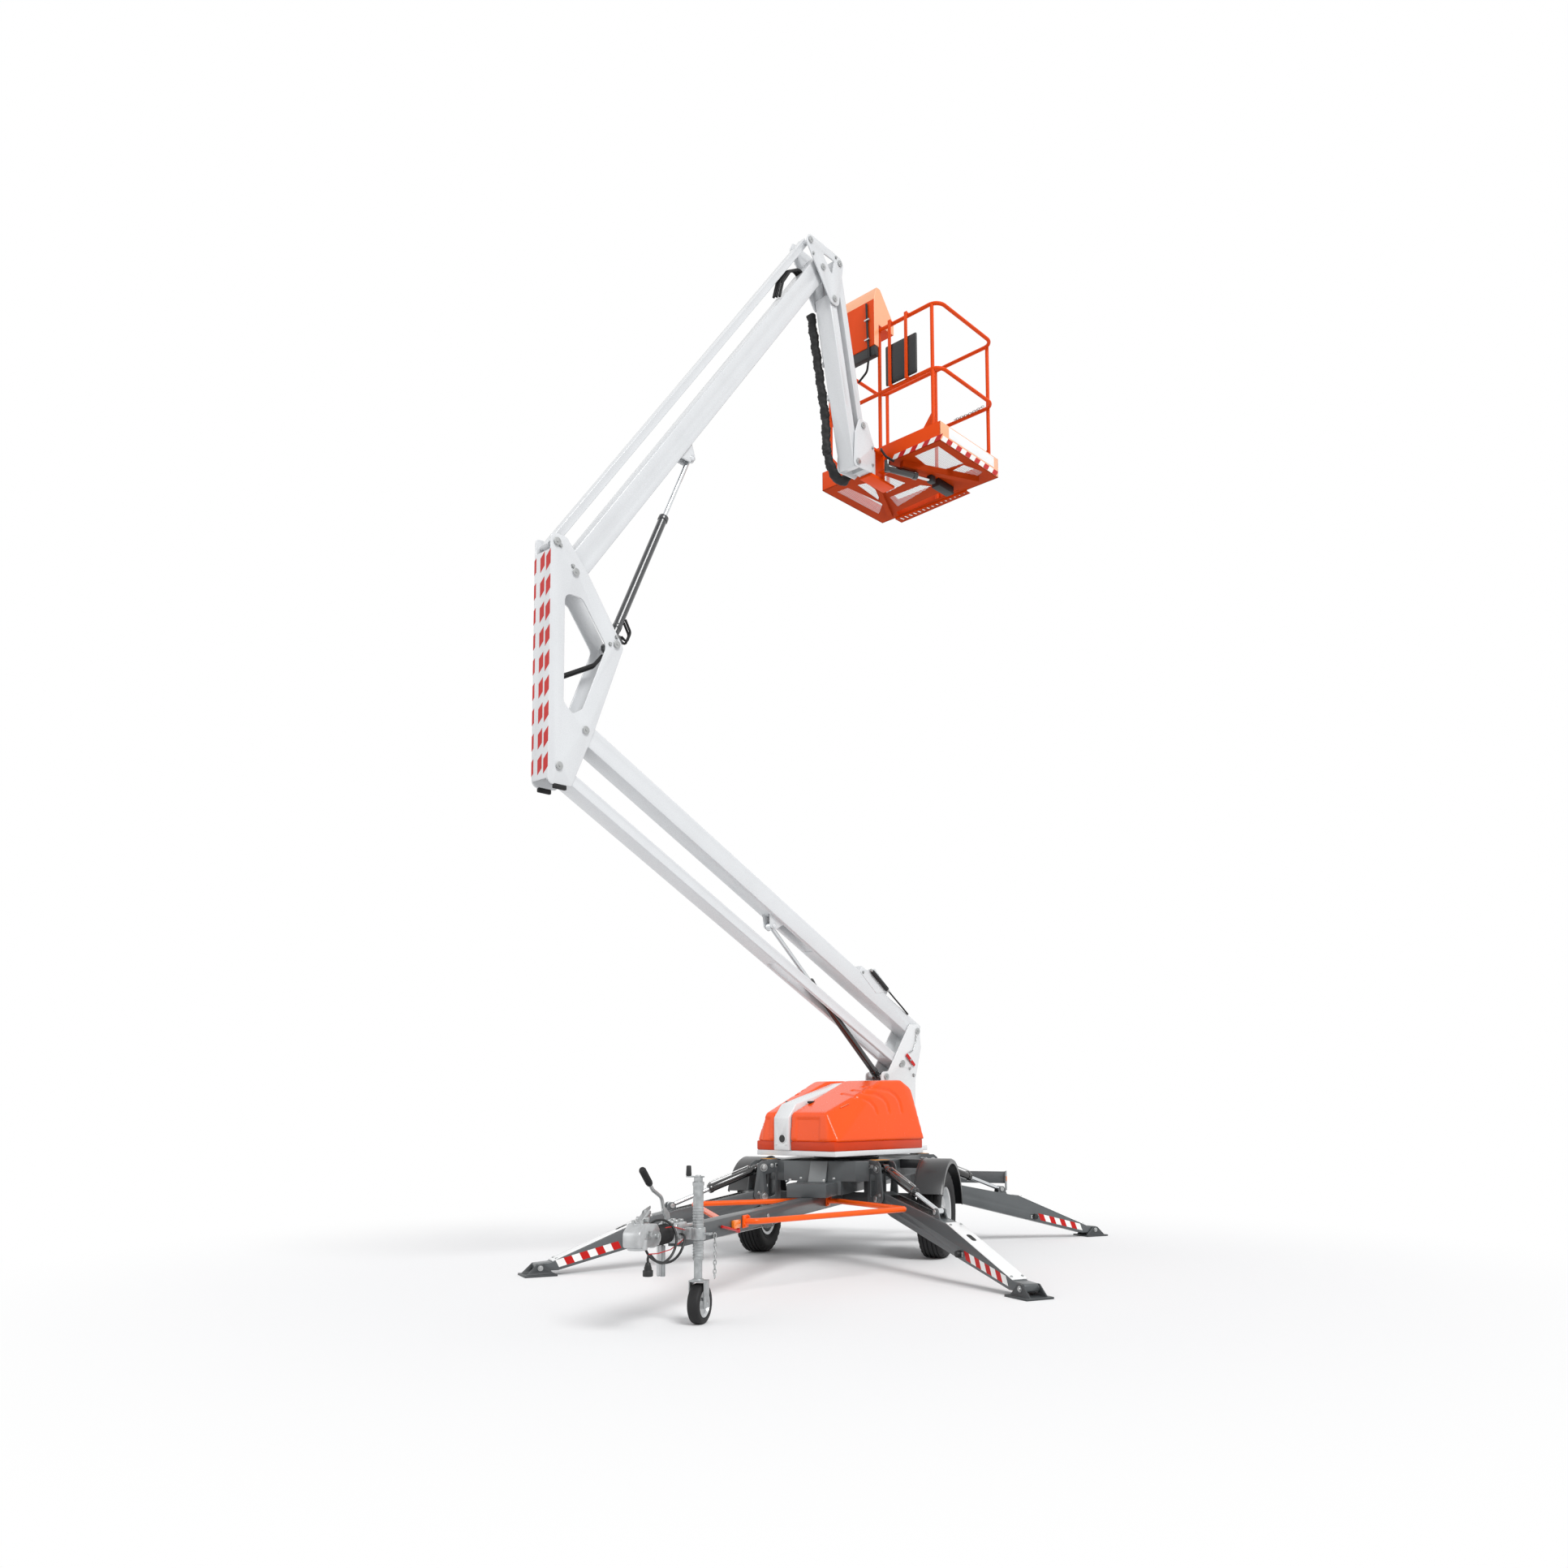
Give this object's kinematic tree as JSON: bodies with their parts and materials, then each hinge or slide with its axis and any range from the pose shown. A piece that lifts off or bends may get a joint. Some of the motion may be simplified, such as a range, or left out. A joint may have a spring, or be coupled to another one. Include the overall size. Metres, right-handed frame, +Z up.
{
  "type": "towable articulated boom lift",
  "caption": "Trailer mounted articulated boom lift with folding outriggers, slewing turret, parallelogram booms, jib and railed work platform.",
  "frame": {"origin": "on the ground, at the middle of the whole machine's box seen from above, so the slewing centre is 0.7803 m along +Y", "axes": "-Y towards the tow coupling, +X to the machine's right seen along +Y, +Z up"},
  "size_m": [3.2488, 5.3394, 7.33],
  "materials": {
    "frame_grey": "satin",
    "leg_grey": "satin",
    "orange_plastic": "gloss",
    "orange_steel": "gloss",
    "white_steel": "gloss",
    "galvanised": "satin",
    "rim_steel": "satin",
    "black_plastic": "satin",
    "black_steel": "gloss",
    "rod_chrome": "mirror",
    "tyre": "matte",
    "rubber": "matte",
    "sleeve": "matte"
  },
  "bodies": {
    "chassis": {"chassis_frame": "frame_grey", "axle": "black_steel", "drawbar": "frame_grey", "drawbar_box": "frame_grey", "coupling": "galvanised", "bellows": "rubber", "handbrake": "galvanised", "guards": "orange_steel", "mudguards": "black_plastic", "lamp_bar": "frame_grey", "slew_ring": "black_steel", "jockey_tube": "galvanised", "trailer_lead": "rubber", "trailer_plug": "black_plastic"},
    "jockey_leg": {"jockey_leg": "galvanised"},
    "jockey_fork": {"jockey_fork": "galvanised"},
    "jockey_wheel": {"jockey_wheel": "rubber"},
    "wheel_left": {"tyre_left": "tyre", "rim_left": "rim_steel"},
    "wheel_right": {"tyre_right": "tyre", "rim_right": "rim_steel"},
    "outrigger_fl": {"outrigger_fl": "leg_grey"},
    "foot_fl": {"foot_fl": "frame_grey"},
    "jack_fl": {"jack_fl": "black_steel"},
    "jack_rod_fl": {"jack_rod_fl": "rod_chrome"},
    "outrigger_fr": {"outrigger_fr": "leg_grey"},
    "foot_fr": {"foot_fr": "frame_grey"},
    "jack_fr": {"jack_fr": "black_steel"},
    "jack_rod_fr": {"jack_rod_fr": "rod_chrome"},
    "outrigger_rl": {"outrigger_rl": "leg_grey"},
    "foot_rl": {"foot_rl": "frame_grey"},
    "jack_rl": {"jack_rl": "black_steel"},
    "jack_rod_rl": {"jack_rod_rl": "rod_chrome"},
    "outrigger_rr": {"outrigger_rr": "leg_grey"},
    "foot_rr": {"foot_rr": "frame_grey"},
    "jack_rr": {"jack_rr": "black_steel"},
    "jack_rod_rr": {"jack_rod_rr": "rod_chrome"},
    "turret": {"turret": "white_steel", "spine": "white_steel", "hood_left": "orange_plastic", "hood_right": "orange_plastic"},
    "lower_boom": {"lower_boom": "white_steel"},
    "lower_link": {"lower_link": "white_steel"},
    "lower_barrel": {"lower_barrel": "black_steel"},
    "lower_rod": {"lower_rod": "rod_chrome"},
    "upright": {"upright": "white_steel"},
    "upper_boom": {"upper_boom": "white_steel"},
    "upper_link": {"upper_link": "white_steel"},
    "upper_barrel": {"upper_barrel": "black_steel"},
    "upper_rod": {"upper_rod": "rod_chrome"},
    "head": {"head": "white_steel"},
    "jib": {"jib": "white_steel", "hose_sleeve": "sleeve"},
    "jib_link": {"jib_link": "white_steel"},
    "carrier": {"carrier": "white_steel"},
    "platform": {"swivel_bracket": "orange_steel", "platform_floor": "orange_steel", "platform_rails": "orange_steel", "control_box": "orange_plastic", "pad": "rubber"}
  },
  "joints": [
    {"name": "wheel_left_spin", "type": "hinge", "parent": "chassis", "child": "wheel_left", "pos_m": [-0.64, 0.75433, 0.297], "axis": [1, 0, 0], "continuous": true},
    {"name": "wheel_right_spin", "type": "hinge", "parent": "chassis", "child": "wheel_right", "pos_m": [0.64, 0.75433, 0.297], "axis": [1, 0, 0], "continuous": true},
    {"name": "jockey_raise", "type": "slide", "parent": "chassis", "child": "jockey_leg", "axis": [0, 0, 1], "range_m": [0, 0.075]},
    {"name": "jockey_swivel", "type": "hinge", "parent": "jockey_leg", "child": "jockey_fork", "pos_m": [0.119, -2.18368, 0.21], "axis": [0, 0, 1], "continuous": true},
    {"name": "jockey_spin", "type": "hinge", "parent": "jockey_fork", "child": "jockey_wheel", "pos_m": [0.119, -2.16368, 0.095], "axis": [1, 0, 0], "continuous": true},
    {"name": "outrigger_fl_fold", "type": "hinge", "parent": "chassis", "child": "outrigger_fl", "pos_m": [-0.43005, 0.18528, 0.43], "axis": [-0.7071, 0.7071, 0], "range_deg": [0, 80]},
    {"name": "foot_fl_tilt", "type": "hinge", "parent": "outrigger_fl", "child": "foot_fl", "pos_m": [-1.49, -0.87467, 0.05], "axis": [-0.7071, 0.7071, 0], "range_deg": [-5, 5]},
    {"name": "jack_fl_swing", "type": "hinge", "parent": "chassis", "child": "jack_fl", "pos_m": [-0.43005, 0.18528, 0.62], "axis": [-0.7071, 0.7071, 0], "range_deg": [-2.27, 93.02]},
    {"name": "jack_fl_stroke", "type": "slide", "parent": "jack_fl", "child": "jack_rod_fl", "axis": [-0.6654, -0.6654, -0.3384], "range_m": [-0.22403, 0.00277]},
    {"name": "outrigger_fr_fold", "type": "hinge", "parent": "chassis", "child": "outrigger_fr", "pos_m": [0.43005, 0.18528, 0.43], "axis": [-0.7071, -0.7071, 0], "range_deg": [0, 80]},
    {"name": "foot_fr_tilt", "type": "hinge", "parent": "outrigger_fr", "child": "foot_fr", "pos_m": [1.49, -0.87467, 0.05], "axis": [-0.7071, -0.7071, 0], "range_deg": [-5, 5]},
    {"name": "jack_fr_swing", "type": "hinge", "parent": "chassis", "child": "jack_fr", "pos_m": [0.43005, 0.18528, 0.62], "axis": [-0.7071, -0.7071, 0], "range_deg": [-2.27, 93.02]},
    {"name": "jack_fr_stroke", "type": "slide", "parent": "jack_fr", "child": "jack_rod_fr", "axis": [0.6654, -0.6654, -0.3384], "range_m": [-0.22403, 0.00277]},
    {"name": "outrigger_rl_fold", "type": "hinge", "parent": "chassis", "child": "outrigger_rl", "pos_m": [-0.43005, 1.47537, 0.43], "axis": [0.7071, 0.7071, 0], "range_deg": [0, 80]},
    {"name": "foot_rl_tilt", "type": "hinge", "parent": "outrigger_rl", "child": "foot_rl", "pos_m": [-1.49, 2.53532, 0.05], "axis": [0.7071, 0.7071, 0], "range_deg": [-5, 5]},
    {"name": "jack_rl_swing", "type": "hinge", "parent": "chassis", "child": "jack_rl", "pos_m": [-0.43005, 1.47537, 0.62], "axis": [0.7071, 0.7071, 0], "range_deg": [-2.27, 93.02]},
    {"name": "jack_rl_stroke", "type": "slide", "parent": "jack_rl", "child": "jack_rod_rl", "axis": [-0.6654, 0.6654, -0.3384], "range_m": [-0.22403, 0.00277]},
    {"name": "outrigger_rr_fold", "type": "hinge", "parent": "chassis", "child": "outrigger_rr", "pos_m": [0.43005, 1.47537, 0.43], "axis": [0.7071, -0.7071, 0], "range_deg": [0, 80]},
    {"name": "foot_rr_tilt", "type": "hinge", "parent": "outrigger_rr", "child": "foot_rr", "pos_m": [1.49, 2.53532, 0.05], "axis": [0.7071, -0.7071, 0], "range_deg": [-5, 5]},
    {"name": "jack_rr_swing", "type": "hinge", "parent": "chassis", "child": "jack_rr", "pos_m": [0.43005, 1.47537, 0.62], "axis": [0.7071, -0.7071, 0], "range_deg": [-2.27, 93.02]},
    {"name": "jack_rr_stroke", "type": "slide", "parent": "jack_rr", "child": "jack_rod_rr", "axis": [0.6654, 0.6654, -0.3384], "range_m": [-0.22403, 0.00277]},
    {"name": "slew", "type": "hinge", "parent": "chassis", "child": "turret", "pos_m": [0, 0.78033, 0.7], "axis": [0, 0, 1], "range_deg": [-156.3, 198.7]},
    {"name": "lower_lift", "type": "hinge", "parent": "turret", "child": "lower_boom", "pos_m": [0.29744, 1.45792, 1.58], "axis": [-0.9157, 0.4019, 0], "range_deg": [-36, 38]},
    {"name": "lower_link_turn", "type": "hinge", "parent": "turret", "child": "lower_link", "pos_m": [0.22308, 1.28852, 1.335], "axis": [-0.9157, 0.4019, 0], "range_deg": [-37, 39]},
    {"name": "upright_level", "type": "hinge", "parent": "lower_boom", "child": "upright", "pos_m": [-0.9691, -1.42734, 3.185], "axis": [-0.9157, 0.4019, 0], "range_deg": [-39, 37]},
    {"name": "lower_barrel_turn", "type": "hinge", "parent": "turret", "child": "lower_barrel", "pos_m": [0.1447, 1.10996, 1.235], "axis": [-0.9157, 0.4019, 0], "range_deg": [-38.58, 40.67]},
    {"name": "lower_rod_stroke", "type": "slide", "parent": "lower_barrel", "child": "lower_rod", "axis": [-0.3034, -0.6912, 0.6559], "range_m": [-0.3109, 0.3279]},
    {"name": "upper_lift", "type": "hinge", "parent": "upright", "child": "upper_boom", "pos_m": [-1.00326, -1.50517, 4.1], "axis": [0.9157, -0.4019, 0], "range_deg": [-53.6, 16.4]},
    {"name": "upper_link_turn", "type": "hinge", "parent": "upright", "child": "upper_link", "pos_m": [-1.05753, -1.62878, 4.24], "axis": [0.9157, -0.4019, 0], "range_deg": [-54.6, 17.4]},
    {"name": "head_level", "type": "hinge", "parent": "upper_boom", "child": "head", "pos_m": [-0.11898, 0.50929, 7.088], "axis": [0.9157, -0.4019, 0], "range_deg": [-17.4, 54.6]},
    {"name": "upper_barrel_turn", "type": "hinge", "parent": "upright", "child": "upper_barrel", "pos_m": [-0.87866, -1.22131, 3.754], "axis": [0.9157, -0.4019, 0], "range_deg": [-53.36, 17.02]},
    {"name": "upper_rod_stroke", "type": "slide", "parent": "upper_barrel", "child": "upper_rod", "axis": [0.1666, 0.3794, 0.9101], "range_m": [-0.4258, 0.1337]},
    {"name": "jib_lift", "type": "hinge", "parent": "head", "child": "jib", "pos_m": [-0.06753, 0.62649, 6.908], "axis": [0.9157, -0.4019, 0], "range_deg": [0, 120]},
    {"name": "jib_link_turn", "type": "hinge", "parent": "head", "child": "jib_link", "pos_m": [-0.04341, 0.68143, 7.208], "axis": [0.9157, -0.4019, 0], "range_deg": [-1, 121]},
    {"name": "carrier_level", "type": "hinge", "parent": "jib", "child": "carrier", "pos_m": [0.03617, 0.86273, 5.765], "axis": [0.9157, -0.4019, 0], "range_deg": [-121, 1]},
    {"name": "platform_swivel", "type": "hinge", "parent": "carrier", "child": "platform", "pos_m": [0.13264, 1.08249, 5.86], "axis": [0, 0, 1], "range_deg": [-40, 40]}
  ],
  "couplings": [
    {"joint": "jack_fl_swing", "follows": "outrigger_fl_fold", "ratio": 1.1344},
    {"joint": "jack_fl_stroke", "follows": "outrigger_fl_fold", "m_per_rad": -0.15847},
    {"joint": "jack_fr_swing", "follows": "outrigger_fr_fold", "ratio": 1.1344},
    {"joint": "jack_fr_stroke", "follows": "outrigger_fr_fold", "m_per_rad": -0.15847},
    {"joint": "jack_rl_swing", "follows": "outrigger_rl_fold", "ratio": 1.1344},
    {"joint": "jack_rl_stroke", "follows": "outrigger_rl_fold", "m_per_rad": -0.15847},
    {"joint": "jack_rr_swing", "follows": "outrigger_rr_fold", "ratio": 1.1344},
    {"joint": "jack_rr_stroke", "follows": "outrigger_rr_fold", "m_per_rad": -0.15847},
    {"joint": "lower_link_turn", "follows": "lower_lift", "ratio": 1},
    {"joint": "upright_level", "follows": "lower_lift", "ratio": -1},
    {"joint": "lower_barrel_turn", "follows": "lower_lift", "ratio": 1.0438},
    {"joint": "lower_rod_stroke", "follows": "lower_lift", "m_per_rad": 0.4869},
    {"joint": "upper_link_turn", "follows": "upper_lift", "ratio": 1},
    {"joint": "head_level", "follows": "upper_lift", "ratio": -1},
    {"joint": "upper_barrel_turn", "follows": "upper_lift", "ratio": 0.97688},
    {"joint": "upper_rod_stroke", "follows": "upper_lift", "m_per_rad": 0.44978},
    {"joint": "jib_link_turn", "follows": "jib_lift", "ratio": 1},
    {"joint": "carrier_level", "follows": "jib_lift", "ratio": -1}
  ]
}
